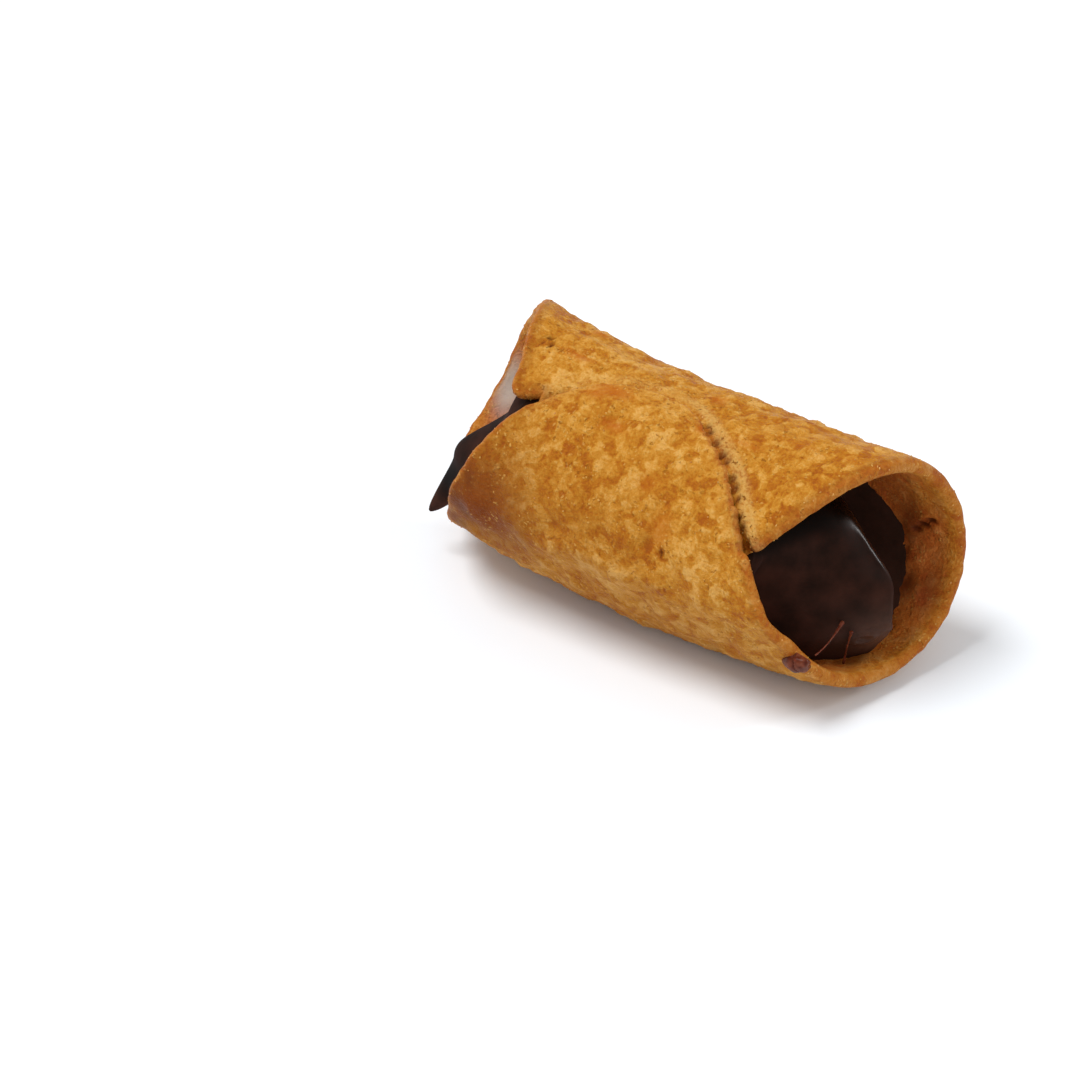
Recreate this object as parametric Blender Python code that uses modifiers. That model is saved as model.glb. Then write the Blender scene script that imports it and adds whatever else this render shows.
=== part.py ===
# A small filled cannolo lying on its side. One rounded sheet of dough is rolled round a tube, so that two
# opposite corners lap and seal and the other two stand out as the lips of slanted mouths, and a chocolate
# cream is piped right through it. Metres, +Z up, +X towards the wider mouth, -Y the side with the seam.
import math

import bmesh
import bpy
import numpy as np

MM = 0.001

# The rolled tube
TUBE_RADIUS = 14.5 * MM
DOUGH_THICKNESS = 1.8 * MM
BELLY = 0.5 * MM
LAP_RISE = 1.5 * MM
LAP_RAMP = 6.0 * MM
LAP_LEAD = 4.0 * MM
HALF_TUBE = 32.0 * MM

# The tube's axis is a shallow bow: how far it leans and bends over half its length
AXIS_LEAN_Z = -0.6 * MM
AXIS_BEND_Z = 2.1 * MM
AXIS_BEND_Y = -0.5 * MM

# Each mouth widens by a flare, which leans to one side and is pinched across another; angles run from the
# top of the tube towards -Y
MOUTHS = {
    -1: {"flare": 0.5 * MM, "lean": 2.2 * MM, "lean_to": -0.1, "pinch": 0.4 * MM, "pinch_at": -0.4},
    1: {"flare": -0.4 * MM, "lean": 0.4 * MM, "lean_to": 0.8, "pinch": 0.4 * MM, "pinch_at": 1.3},
}

# The sheet before it is rolled: its half sizes along the tube and round it, and how square its outline is.
# The outer half laps over the inner one. Swells are where the cut edge bulges out or draws in, by a share of
# its reach; angles go round the flat sheet from its right-hand tip, the outer half first. The big one is the
# ear, a corner that stands out at the narrower mouth.
HALF_LENGTH = {"left": 31.8 * MM, "right": 29.9 * MM}
HALF_WRAP = {"outer": 56.6 * MM, "inner": 56.7 * MM}
ROUNDNESS = {
    "outer": {"left": 2.1, "right": 1.6},
    "inner": {"left": 1.75, "right": 2.0},
}
SWELLS = [
    {"at": math.radians(-175.3), "width": math.radians(20.0), "size": 0.22},
    {"at": math.radians(-158.0), "width": math.radians(12.0), "size": -0.045},
    {"at": math.radians(-22.0), "width": math.radians(10.0), "size": -0.03},
    {"at": math.radians(80.0), "width": math.radians(8.0), "size": -0.02},
    {"at": math.radians(106.0), "width": math.radians(18.0), "size": 0.045},
]
SHEET_MIDDLE = math.radians(231.0)
SHEET_CELLS = 34

RIM_ROUND = 0.6 * MM

# The flat spot that the roll rests on, where its underside has settled
FLAT_DEPTH = 0.4 * MM

# The cream: a filling as wide as the bore, ending in a nose at each mouth. A nose starts at "from",
# narrows by "shrink" while it leans against the wall at "lean_to", and domes over to its tip at "to".
# Its face slants with the mouth, furthest out on the side away from the seam, by "slant".
CREAM_GAP = 0.3 * MM
NOSES = {
    -1: {
        "from": 18.0 * MM,
        "to": 34.0 * MM,
        "shrink": 0.45,
        "lean_to": math.radians(135.0),
        "dome": 2.6,
        "slant": 3.0 * MM,
    },
    1: {
        "from": 15.0 * MM,
        "to": 26.5 * MM,
        "shrink": 0.29,
        "lean_to": math.radians(152.0),
        "dome": 3.0,
        "slant": 4.0 * MM,
    },
}
NOSE_BODY = 0.35
NOSE_SHOULDER = 0.4
CREAM_SIDES = 32
CREAM_RINGS = 27


def smooth_step(amount):
    t = np.clip(amount, 0.0, 1.0)
    return t * t * (3.0 - 2.0 * t)


def outline_power(half, towards_right):
    share = smooth_step(towards_right + 0.5)
    return ROUNDNESS[half]["left"] * (1.0 - share) + ROUNDNESS[half]["right"] * share


def outline_reach(turn):
    """How far the sheet's outline lies from its middle, in half sizes, in the direction turn."""
    power_outer = outline_power("outer", np.cos(turn))
    power_inner = outline_power("inner", np.cos(turn))
    power = np.where(np.sin(turn) >= 0.0, power_outer, power_inner)
    reach = (np.abs(np.cos(turn)) ** power + np.abs(np.sin(turn)) ** power) ** (-1.0 / power)
    for swell in SWELLS:
        off = np.angle(np.exp(1j * (turn - swell["at"])))
        reach = reach * (1.0 + swell["size"] * np.exp(-((off / swell["width"]) ** 2)))
    return reach


def flat_sheet(p, q):
    """Maps the square grid, with its corners at the four lips and laps, onto the flat rounded sheet."""
    along = (p - q) / 2.0
    across = (p + q) / 2.0
    turn = np.arctan2(across, along)
    square = 1.0 / (np.abs(np.cos(turn)) + np.abs(np.sin(turn)))
    grow = 1.0 + (outline_reach(turn) / square - 1.0) * (np.abs(along) + np.abs(across)) ** 2
    along = along * grow
    across = across * grow
    along = along * np.where(along >= 0.0, HALF_LENGTH["right"], HALF_LENGTH["left"])
    across = across * np.where(across >= 0.0, HALF_WRAP["outer"], HALF_WRAP["inner"])
    return along, across


def tube_radius(along, angle):
    """The skin's distance from the axis, before the lap."""
    x = along / HALF_TUBE
    radius = TUBE_RADIUS + BELLY * (1.0 - x * x)
    for side, mouth in MOUTHS.items():
        reach = np.maximum(0.0, x * side) ** 2
        lean = mouth["lean"] * np.cos(angle - mouth["lean_to"])
        pinch = mouth["pinch"] * np.cos(2.0 * (angle - mouth["pinch_at"]))
        radius = radius + reach * (mouth["flare"] + lean + pinch)
    return radius


def tube_point(along, angle, radius):
    x = along / HALF_TUBE
    y = -radius * np.sin(angle) + AXIS_BEND_Y * x * x
    z = radius * np.cos(angle) + AXIS_LEAN_Z * x + AXIS_BEND_Z * x * x
    return np.stack([along, y, z], axis=-1)


def rolled_sheet(p, q):
    along, across = flat_sheet(p, q)
    angle = SHEET_MIDDLE - across / TUBE_RADIUS
    lap_starts = 2.0 * math.pi * TUBE_RADIUS - HALF_WRAP["inner"] - LAP_LEAD
    rise = LAP_RISE * smooth_step((across - lap_starts) / LAP_RAMP)
    return tube_point(along, angle, tube_radius(along, angle) + rise)


def nose_shape(side, share):
    """Scale and lean of the cream's section at a share of the way from its start to its tip."""
    nose = NOSES[side]
    step = smooth_step(share / NOSE_SHOULDER)
    scale = (1.0 - nose["shrink"] * step) * (1.0 - share ** nose["dome"]) ** (1.0 / nose["dome"])
    return scale, nose["shrink"] * step


def cream_station(part):
    """Place, scale, lean, lean direction and slant of a ring, part running from -1 to 1 along the tube."""
    side = 1 if part >= 0.0 else -1
    nose = NOSES[side]
    if abs(part) <= NOSE_BODY:
        share = abs(part) / NOSE_BODY
        return side * share * nose["from"], 1.0, 0.0, 0.0, side * share * nose["slant"]
    share = math.sin((abs(part) - NOSE_BODY) / (1.0 - NOSE_BODY) * math.pi / 2.0)
    scale, lean = nose_shape(side, share)
    along = side * (nose["from"] + share * (nose["to"] - nose["from"]))
    return along, scale, lean, nose["lean_to"], side * nose["slant"]


def cream_point(part, angle):
    along, scale, lean, lean_to, slant = cream_station(part)
    to_front = scale * math.sin(angle) + lean * math.sin(lean_to)
    to_top = scale * math.cos(angle) + lean * math.cos(lean_to)
    reach = math.hypot(to_front, to_top)
    turn = math.atan2(to_front, to_top)
    along += slant * reach * math.cos(turn - SHEET_MIDDLE)
    bore = float(tube_radius(along, turn)) - DOUGH_THICKNESS - CREAM_GAP
    return tube_point(along, turn, reach * bore)


def clear_scene():
    for thing in list(bpy.data.objects):
        bpy.data.objects.remove(thing, do_unlink=True)
    for group in list(bpy.data.collections):
        bpy.data.collections.remove(group)


def make_collection(name):
    group = bpy.data.collections.new(name)
    bpy.context.scene.collection.children.link(group)
    return group


def make_material(name, colour, roughness):
    material = bpy.data.materials.new(name)
    material.use_nodes = True
    surface = material.node_tree.nodes["Principled BSDF"]
    surface.inputs["Base Color"].default_value = (*colour, 1.0)
    surface.inputs["Roughness"].default_value = roughness
    surface.inputs["Metallic"].default_value = 0.0
    return material


def add_object(name, shape, group, material=None):
    mesh = bpy.data.meshes.new(name)
    shape.to_mesh(mesh)
    shape.free()
    mesh.shade_smooth()
    thing = bpy.data.objects.new(name, mesh)
    group.objects.link(thing)
    if material:
        mesh.materials.append(material)
    return thing


def evaluated_corners(things):
    """Lowest and highest corner of some objects, with their modifiers."""
    graph = bpy.context.evaluated_depsgraph_get()
    points = []
    for thing in things:
        shown = thing.evaluated_get(graph)
        mesh = shown.to_mesh()
        points += [thing.matrix_world @ vertex.co for vertex in mesh.vertices]
        shown.to_mesh_clear()
    places = np.array(points)
    return places.min(axis=0), places.max(axis=0)


def make_shell(group, material):
    shape = bmesh.new()
    bmesh.ops.create_grid(shape, x_segments=SHEET_CELLS, y_segments=SHEET_CELLS, size=1.0)
    for vertex in shape.verts:
        vertex.co = rolled_sheet(vertex.co.x, vertex.co.y)
    shell = add_object("shell", shape, group, material)
    thicken = shell.modifiers.new("dough", "SOLIDIFY")
    thicken.thickness = DOUGH_THICKNESS
    thicken.offset = -1.0
    thicken.use_even_offset = True
    soften = shell.modifiers.new("rim", "BEVEL")
    soften.width = RIM_ROUND
    soften.segments = 2
    soften.limit_method = "ANGLE"
    soften.angle_limit = math.radians(60.0)
    return shell


def make_cream(group, material):
    shape = bmesh.new()
    bmesh.ops.create_uvsphere(shape, u_segments=CREAM_SIDES, v_segments=CREAM_RINGS + 1, radius=1.0)
    for vertex in shape.verts:
        part = 1.0 - 2.0 * math.acos(max(-1.0, min(1.0, vertex.co.z))) / math.pi
        vertex.co = cream_point(part, math.atan2(vertex.co.y, vertex.co.x))
    return add_object("filling", shape, group, material)


def make_floor_cutter(group, low, high):
    """A block whose top face trims the roll's underside flat."""
    shape = bmesh.new()
    bmesh.ops.create_cube(shape, size=1.0)
    size = (high - low) * 1.5
    size[2] = TUBE_RADIUS
    middle = (high + low) / 2.0
    middle[2] = low[2] + FLAT_DEPTH - size[2] / 2.0
    for vertex in shape.verts:
        vertex.co = [middle[k] + vertex.co[k] * size[k] for k in range(3)]
    cutter = add_object("floor_cutter", shape, group)
    cutter.display_type = "WIRE"
    cutter.hide_render = True
    return cutter


def trim_underside(shell, cutter):
    trim = shell.modifiers.new("flat_spot", "BOOLEAN")
    trim.operation = "DIFFERENCE"
    trim.solver = "EXACT"
    trim.use_self = True
    trim.object = cutter


def main():
    clear_scene()
    parts = make_collection("cannolo")
    cutters = make_collection("cutters")
    dough = make_material("fried_dough", (0.55, 0.26, 0.08), 0.6)
    chocolate = make_material("chocolate_cream", (0.03, 0.013, 0.01), 0.3)
    shell = make_shell(parts, dough)
    cream = make_cream(parts, chocolate)
    cutter = make_floor_cutter(cutters, *evaluated_corners([shell]))
    trim_underside(shell, cutter)
    low, high = evaluated_corners([shell, cream])
    seat = bpy.data.objects.new("seat", None)
    parts.objects.link(seat)
    for thing in (shell, cream, cutter):
        thing.parent = seat
    seat.location = (-(low[0] + high[0]) / 2.0, -(low[1] + high[1]) / 2.0, -low[2])


main()
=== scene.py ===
import math

import bmesh
import bpy
import numpy as np
from mathutils import Matrix, Vector, kdtree
from mathutils.bvhtree import BVHTree


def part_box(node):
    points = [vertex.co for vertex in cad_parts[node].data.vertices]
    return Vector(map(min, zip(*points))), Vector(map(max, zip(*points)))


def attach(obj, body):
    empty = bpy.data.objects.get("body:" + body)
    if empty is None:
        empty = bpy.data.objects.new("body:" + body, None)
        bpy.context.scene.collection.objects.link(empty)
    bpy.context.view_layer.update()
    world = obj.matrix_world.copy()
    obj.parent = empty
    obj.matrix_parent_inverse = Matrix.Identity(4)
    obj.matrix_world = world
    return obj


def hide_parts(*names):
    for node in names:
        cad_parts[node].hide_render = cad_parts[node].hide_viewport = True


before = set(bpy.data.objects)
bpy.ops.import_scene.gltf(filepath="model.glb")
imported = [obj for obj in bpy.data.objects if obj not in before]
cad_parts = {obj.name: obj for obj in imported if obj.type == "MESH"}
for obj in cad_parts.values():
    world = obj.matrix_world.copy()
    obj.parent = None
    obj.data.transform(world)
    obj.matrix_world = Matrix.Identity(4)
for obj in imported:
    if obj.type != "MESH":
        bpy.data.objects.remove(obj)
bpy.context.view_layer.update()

# Shapes are worked out in millimetres about the middle of the rolled tube, +X towards the wider mouth and
# -Y the side with the seam, then put in the frame. Angles run from the top of the tube towards the seam side.
mm = 0.001

tube = {
    "radius": 14.5,
    "belly": 0.5,
    "halfLength": 32.0,
    "axisLeanZ": -0.6,
    "axisBendZ": 2.1,
    "axisBendY": -0.5,
    "creamLow": (-34.09, -12.918, -12.918),
    "mouths": {
        -1: {"flare": 0.5, "lean": 2.2, "leanTo": -0.1, "pinch": 0.4, "pinchAt": -0.4},
        1: {"flare": -0.4, "lean": 0.4, "leanTo": 0.8, "pinch": 0.4, "pinchAt": 1.3},
    },
}

# The dough before it is rolled. Its outer half laps over the inner one.
sheet = {
    "thickness": 1.8,
    "halfLength": {"left": 31.8, "right": 29.9},
    "halfWrap": {"outer": 56.6, "inner": 56.7},
    "roundness": {"outer": {"left": 2.1, "right": 1.6}, "inner": {"left": 1.75, "right": 2.0}},
    "swells": [(-175.3, 20.0, 0.235), (-175.3, 7.0, -0.025), (-158.0, 12.0, -0.045), (-22.0, 10.0, -0.03),
               (80.0, 8.0, -0.02), (106.0, 18.0, 0.045), (170.0, 9.0, 0.045), (-132.8, 2.2, 0.03),
               (-127.8, 2.4, -0.065)],
    "middleAngle": math.radians(231.0),
    "lapRise": 1.5,
    "lapRamp": 6.0,
    "lapLead": 4.0,
}


def smoothStep(amount):
    t = np.clip(amount, 0.0, 1.0)
    return t * t * (3.0 - 2.0 * t)


def bell(distance, width):
    return np.exp(-((distance / width) ** 2))


def rampUp(value, amount, start, over):
    # Grows to amount as value goes from start, up or down over so much
    return amount * smoothStep((value - start) / over)


def tubeRadius(along, angle):
    x = along / tube["halfLength"]
    radius = tube["radius"] + tube["belly"] * (1.0 - x * x)
    for side, mouth in tube["mouths"].items():
        reach = np.maximum(0.0, x * side) ** 2
        lean = mouth["lean"] * np.cos(angle - mouth["leanTo"])
        pinch = mouth["pinch"] * np.cos(2.0 * (angle - mouth["pinchAt"]))
        radius = radius + reach * (mouth["flare"] + lean + pinch)
    return radius


def tubePoint(along, angle, radius):
    x = along / tube["halfLength"]
    y = -radius * np.sin(angle) + tube["axisBendY"] * x * x
    z = radius * np.cos(angle) + tube["axisLeanZ"] * x + tube["axisBendZ"] * x * x
    return np.stack([along + 0.0 * radius, y, z], axis=-1)


def outlinePower(half, towardsRight):
    ends = sheet["roundness"][half]
    return ends["left"] + rampUp(towardsRight, ends["right"] - ends["left"], -0.5, 1.0)


def outlineReach(turn):
    outer = outlinePower("outer", np.cos(turn))
    inner = outlinePower("inner", np.cos(turn))
    power = np.where(np.sin(turn) >= 0.0, outer, inner)
    reach = (np.abs(np.cos(turn)) ** power + np.abs(np.sin(turn)) ** power) ** (-1.0 / power)
    for at, width, size in sheet["swells"]:
        off = np.angle(np.exp(1j * (turn - math.radians(at))))
        reach = reach * (1.0 + size * bell(off, math.radians(width)))
    return reach


def sheetScale(along, across):
    alongHalf = np.where(along >= 0.0, sheet["halfLength"]["right"], sheet["halfLength"]["left"])
    acrossHalf = np.where(across >= 0.0, sheet["halfWrap"]["outer"], sheet["halfWrap"]["inner"])
    return alongHalf, acrossHalf


def outlinePoint(turn):
    reach = outlineReach(turn)
    alongHalf, acrossHalf = sheetScale(np.cos(turn), np.sin(turn))
    return np.cos(turn) * reach * alongHalf, np.sin(turn) * reach * acrossHalf


# The sheet's outline as a ring of points, for measuring how far anything on the dough is from its edge
outlineSteps = 3000
outlineTurn = np.linspace(-math.pi, math.pi, outlineSteps, endpoint=False)
outlineRing = np.stack(outlinePoint(outlineTurn), axis=-1)
outlineRun = np.concatenate([[0.0], np.cumsum(np.hypot(*np.diff(outlineRing, axis=0).T))])
outlineTree = kdtree.KDTree(outlineSteps)
for index, (ringAlong, ringAcross) in enumerate(outlineRing):
    outlineTree.insert((ringAlong, ringAcross, 0.0), index)
outlineTree.balance()


def edgeDistance(along, across):
    # Millimetres inside the outline, negative outside it, and the place along the outline that is nearest
    alongHalf, acrossHalf = sheetScale(along, across)
    turn = np.arctan2(across / acrossHalf, along / alongHalf)
    inside = np.hypot(across / acrossHalf, along / alongHalf) <= outlineReach(turn)
    nearest = [outlineTree.find((a, b, 0.0)) for a, b in zip(np.ravel(along), np.ravel(across))]
    distance = np.reshape([hit[2] for hit in nearest], inside.shape)
    run = np.reshape(outlineRun[[hit[1] for hit in nearest]], inside.shape)
    return np.where(inside, distance, -distance), run


def skinPoint(along, across, outward):
    # A point of the rolled dough, so far out from its outer skin
    angle = sheet["middleAngle"] - across / tube["radius"]
    return tubePoint(along, angle, tubeRadius(along, angle) + lapRamp(across) * sheet["lapRise"] + outward)


def lapRamp(across):
    lapStarts = 2.0 * math.pi * tube["radius"] - sheet["halfWrap"]["inner"] - sheet["lapLead"]
    return smoothStep((across - lapStarts) / sheet["lapRamp"])


# Where the tube's middle sits in the frame, from the filling's lowest corner
seat = np.array(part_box("filling")[0]) / mm - tube["creamLow"]
print("middle of the tube in the frame, mm:", np.round(seat, 2))


def addObject(name, data):
    thing = bpy.data.objects.new(name, data)
    bpy.context.scene.collection.objects.link(thing)
    return thing


def addMesh(name, points, faces, material):
    mesh = bpy.data.meshes.new(name)
    mesh.from_pydata(((points + seat) * mm).tolist(), [], [list(face) for face in faces])
    mesh.update()
    mesh.shade_smooth()
    mesh.materials.append(material)
    return addObject(name, mesh)


def ringFaces(rings, sides, first=0):
    # The numbers of the points in each ring and of those ahead of them, and the faces that join the rings
    number = first + np.arange(rings * sides).reshape(rings, sides)
    ahead = np.roll(number, -1, axis=1)
    quads = np.stack([number[:-1], number[1:], ahead[1:], ahead[:-1]], axis=-1)
    return number, ahead, quads.reshape(-1, 4).tolist()


def storeFields(piece, fields):
    for name, values in fields.items():
        attribute = piece.data.attributes.new(name, "FLOAT", "POINT")
        attribute.data.foreach_set("value", np.ascontiguousarray(values, dtype=np.float32))


def feed(tree, node, inputs):
    # Sockets are linked to a node's inputs, and plain values are set on them
    for key, value in inputs.items():
        if isinstance(value, bpy.types.NodeSocket):
            tree.links.new(value, node.inputs[key])
        else:
            node.inputs[key].default_value = value


def addNode(tree, kind, inputs=None, output=0, **settings):
    # Adds one node, sets it up, feeds its inputs and gives back an output
    node = tree.nodes.new(kind)
    for name, value in settings.items():
        setattr(node, name, value)
    feed(tree, node, inputs or {})
    return node.outputs[output]


def colour(hexText):
    # sRGB hex to linear
    parts = [int(hexText[k:k + 2], 16) / 255.0 for k in (0, 2, 4)]
    linear = [c / 12.92 if c <= 0.04045 else ((c + 0.055) / 1.055) ** 2.4 for c in parts]
    return (*linear, 1.0)


def setRamp(socket, stops):
    ramp = socket.node.color_ramp
    ramp.elements[0].position = stops[0][0]
    ramp.elements[1].position = stops[-1][0]
    for place, _ in stops[1:-1]:
        ramp.elements.new(place)
    for element, (_, value) in zip(ramp.elements, stops):
        element.color = colour(value)


def newMaterial(name):
    material = bpy.data.materials.new(name)
    material.use_nodes = True
    tree = material.node_tree
    surface = tree.nodes["Principled BSDF"]
    return material, tree, surface


def bakeNodes(piece, tree, values):
    # Runs a node tree on a piece, with its inputs set by their identifiers, and keeps the plain mesh
    modifier = piece.modifiers.new(tree.name, "NODES")
    modifier.node_group = tree
    for item in tree.interface.items_tree:
        if item.in_out == "INPUT" and item.name in values:
            modifier[item.identifier] = values[item.name]
    graph = bpy.context.evaluated_depsgraph_get()
    baked = bpy.data.meshes.new_from_object(piece.evaluated_get(graph), depsgraph=graph)
    piece.modifiers.remove(modifier)
    old = piece.data
    piece.data = baked
    bpy.data.meshes.remove(old)
    baked.name = piece.name
    return piece


def patternPlace(tree):
    # Places on a piece in millimetres, which every pattern is laid by
    place = addNode(tree, "ShaderNodeTexCoord", output="Object")
    return addNode(tree, "ShaderNodeVectorMath", {0: place, "Scale": 1.0 / mm}, operation="SCALE")


def newNodeTree(name, values):
    # A tree with one input for each named value and one for its material, and the sockets that bring them in
    tree = bpy.data.node_groups.new(name, "GeometryNodeTree")
    face = tree.interface
    face.new_socket("Geometry", in_out="INPUT", socket_type="NodeSocketGeometry")
    for key, value in values.items():
        kind = "NodeSocketInt" if isinstance(value, int) else "NodeSocketFloat"
        face.new_socket(key, in_out="INPUT", socket_type=kind)
    face.new_socket("Dough", in_out="INPUT", socket_type="NodeSocketMaterial")
    face.new_socket("Geometry", in_out="OUTPUT", socket_type="NodeSocketGeometry")
    return tree, tree.nodes.new("NodeGroupInput").outputs


def endNodeTree(tree, geometry, material):
    real = addNode(tree, "GeometryNodeRealizeInstances", {"Geometry": geometry})
    dressed = addNode(tree, "GeometryNodeSetMaterial", {"Geometry": real, "Material": material})
    tree.links.new(dressed, tree.nodes.new("NodeGroupOutput").inputs["Geometry"])


def mottled(tree, inMm, size, detail, stops):
    # A cloudy pattern and its colours
    cloud = addNode(tree, "ShaderNodeTexNoise", {"Vector": inMm, "Scale": 1 / size, "Detail": detail})
    toned = addNode(tree, "ShaderNodeValToRGB", {"Fac": cloud})
    setRamp(toned, stops)
    return cloud, toned


# Wheat dough, rolled thin and fried in oil: golden flakes over an amber ground, a fine crumbly grain with pale
# grits and brown pores, smooth darker spots where it touched the tin, and a dull oily shine. Sizes in mm.
crustLook = {
    "hollow": "A25610",
    "amber": "B26A14",
    "body": "BE7C20",
    "golden": "CC8E34",
    "flake": "DCA656",
    "granule": "E0AC5A",
    # Pale is the floury band beside the seam, and a painted highlight along the flap's rounded edge
    "pale": "D3A257",
    "smooth": "AE5A0A",
    # Brown is browner frying and painted shade, darkest on the underside and the lower left front
    "brownAndShade": "7E3B09",
    "baked": "C05A2A",
    "pore": "8E500E",
    # Holes and pits are painted near black: painted shade inside them
    "holeShade": "4A2004",
    "stain": "56230E",
    # Film is a real smear of cream on the narrow end's inner wall, painted pale grey as a painted sheen
    "film": "BBAB9E",
    "flakeSize": 1.25,
    "patchSize": 1.3,
    "grainSize": 0.44,
    "granuleSpacing": 0.62,
    "poreSize": 0.55,
    "broadSize": 9.0,
    "driftSize": 2.6,
    "bendSize": 1.3,
    "bend": 1.3,
    "toneFrom": -0.44,
    # The relief's weight darkens hollows and pits: painted shade
    "tone": {"flake": 0.34, "patch": 0.50, "broad": 0.44, "grain": 0.68, "relief": 0.8},
    "height": {"patch": 0.5, "flake": 0.14, "grain": 0.95, "granule": 0.3, "pore": -0.35},
    "bumpMm": 0.38,
    "roughness": (0.38, 0.64),
    "filmGloss": -0.2,
}


def makeCrustMaterial():
    material, tree, surface = newMaterial("fried_dough_crust")
    look = crustLook
    inMm = patternPlace(tree)
    read = {name: addNode(tree, "ShaderNodeAttribute", output="Fac", attribute_name=name)
            for name in ("relief", "pale", "amber", "brownAndShade", "baked", "pit", "stain", "film")}
    bend = addNode(tree, "ShaderNodeTexNoise", {
        "Vector": inMm, "Scale": 1 / look["bendSize"], "Detail": 3.0, "Roughness": 0.6}, output="Color")
    bend = addNode(tree, "ShaderNodeVectorMath", {0: bend, 1: (0.5, 0.5, 0.5)}, operation="SUBTRACT")
    bend = addNode(tree, "ShaderNodeVectorMath", {0: bend, "Scale": look["bend"]}, operation="SCALE")
    warped = addNode(tree, "ShaderNodeVectorMath", {0: inMm, 1: bend}, operation="ADD")

    # Rounded flakes of unlike tone, finer mottling, a grain, and how high the spot stands
    flake = addNode(tree, "ShaderNodeTexVoronoi", {
        "Vector": warped, "Scale": 1 / look["flakeSize"], "Smoothness": 0.4},
        output="Color", feature="SMOOTH_F1")
    flake = addNode(tree, "ShaderNodeSeparateColor", {"Color": flake})
    patch = addNode(tree, "ShaderNodeTexNoise", {
        "Vector": inMm, "Scale": 1 / look["patchSize"], "Detail": 3.0, "Roughness": 0.6})
    broad = addNode(tree, "ShaderNodeTexNoise", {"Vector": inMm, "Scale": 1 / look["broadSize"], "Detail": 1.0})
    grain = addNode(tree, "ShaderNodeTexNoise", {
        "Vector": inMm, "Scale": 1 / look["grainSize"], "Detail": 3.0, "Roughness": 0.65})
    # The relief in the tone makes hollows and pits darker and raised grain paler: painted shade in the hollows
    parts = {"flake": flake, "patch": patch, "broad": broad, "grain": grain, "relief": read["relief"]}
    tone = look["toneFrom"]
    for name, weight in look["tone"].items():
        tone = addNode(tree, "ShaderNodeMath", {0: parts[name], 1: weight, 2: tone}, operation="MULTIPLY_ADD")
    toned = addNode(tree, "ShaderNodeValToRGB", {"Fac": tone})
    setRamp(toned, [(0.26, look["hollow"]), (0.40, look["amber"]), (0.52, look["body"]),
                    (0.66, look["golden"]), (0.84, look["flake"])])

    # Pale grits and brown pores, each in its own drifts
    granule = addNode(tree, "ShaderNodeTexVoronoi", {"Vector": warped, "Scale": 1 / look["granuleSpacing"]})
    granule = addNode(tree, "ShaderNodeMapRange", {
        "Value": granule, "From Min": 0.34, "From Max": 0.14}, interpolation_type="SMOOTHSTEP")
    drift = addNode(tree, "ShaderNodeTexNoise", {"Vector": inMm, "Scale": 1 / look["driftSize"], "Detail": 2.0})
    where = addNode(tree, "ShaderNodeMapRange", {
        "Value": drift, "From Min": 0.46, "From Max": 0.62, "To Min": 0.05, "To Max": 0.6})
    granule = addNode(tree, "ShaderNodeMath", {0: granule, 1: where}, operation="MULTIPLY")
    pore = addNode(tree, "ShaderNodeTexNoise", {
        "Vector": warped, "Scale": 1 / look["poreSize"], "Detail": 2.0, "Roughness": 0.6})
    pore = addNode(tree, "ShaderNodeMapRange", {
        "Value": pore, "From Min": 0.38, "From Max": 0.29}, interpolation_type="SMOOTHSTEP")
    where = addNode(tree, "ShaderNodeMapRange", {
        "Value": drift, "From Min": 0.44, "From Max": 0.56, "To Min": 0.1, "To Max": 0.65})
    where = addNode(tree, "ShaderNodeMath", {0: where, 1: read["pale"]}, operation="MAXIMUM")
    flour = addNode(tree, "ShaderNodeMapRange", {
        "Value": grain, "From Min": 0.34, "From Max": 0.56, "To Min": 0.25})
    pale = addNode(tree, "ShaderNodeMath", {0: read["pale"], 1: flour}, operation="MULTIPLY")
    pore = addNode(tree, "ShaderNodeMath", {0: pore, 1: where}, operation="MULTIPLY")

    # The floury band beside the seam with a painted highlight on the flap's edge, smooth spots, browning with
    # painted shade underneath, grits, pores, then holes in painted shade, wiped cream, and its film with a painted
    # sheen
    layers = {
        "pale": pale, "smooth": read["amber"], "brownAndShade": read["brownAndShade"], "baked": read["baked"], "granule": granule,
        "pore": pore, "holeShade": read["pit"], "stain": read["stain"], "film": read["film"]}
    for key, amount in layers.items():
        toned = addNode(tree, "ShaderNodeMix", {
            "Factor": amount, 6: toned, 7: colour(look[key])}, output=2, data_type="RGBA")

    shine = addNode(tree, "ShaderNodeMapRange", {
        "Value": grain, "From Min": 0.3, "From Max": 0.7,
        "To Min": look["roughness"][0], "To Max": look["roughness"][1]})
    shine = addNode(tree, "ShaderNodeMath", {
        0: read["film"], 1: look["filmGloss"], 2: shine}, operation="MULTIPLY_ADD")

    # Smooth spots and wiped places lose the grain
    parts.update({"granule": granule, "pore": pore})
    height = 0.0
    for name, weight in look["height"].items():
        height = addNode(tree, "ShaderNodeMath", {0: parts[name], 1: weight, 2: height}, operation="MULTIPLY_ADD")
    smooth = 0.0
    for name in ("stain", "film", "amber"):
        smooth = addNode(tree, "ShaderNodeMath", {0: read[name], 1: smooth}, operation="MAXIMUM")
    rough = addNode(tree, "ShaderNodeMapRange", {"Value": smooth, "To Min": 1.0, "To Max": 0.15})
    height = addNode(tree, "ShaderNodeMath", {0: height, 1: rough}, operation="MULTIPLY")
    bump = addNode(tree, "ShaderNodeBump", {"Height": height, "Strength": 1.0, "Distance": look["bumpMm"] * mm})
    feed(tree, surface, {
        "Base Color": toned, "Roughness": shine, "Normal": bump, "IOR": 1.46, "Specular IOR Level": 0.1,
        "Subsurface Weight": 0.08, "Subsurface Radius": (1.0, 0.45, 0.2), "Subsurface Scale": 0.5 * mm})
    return material


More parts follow.
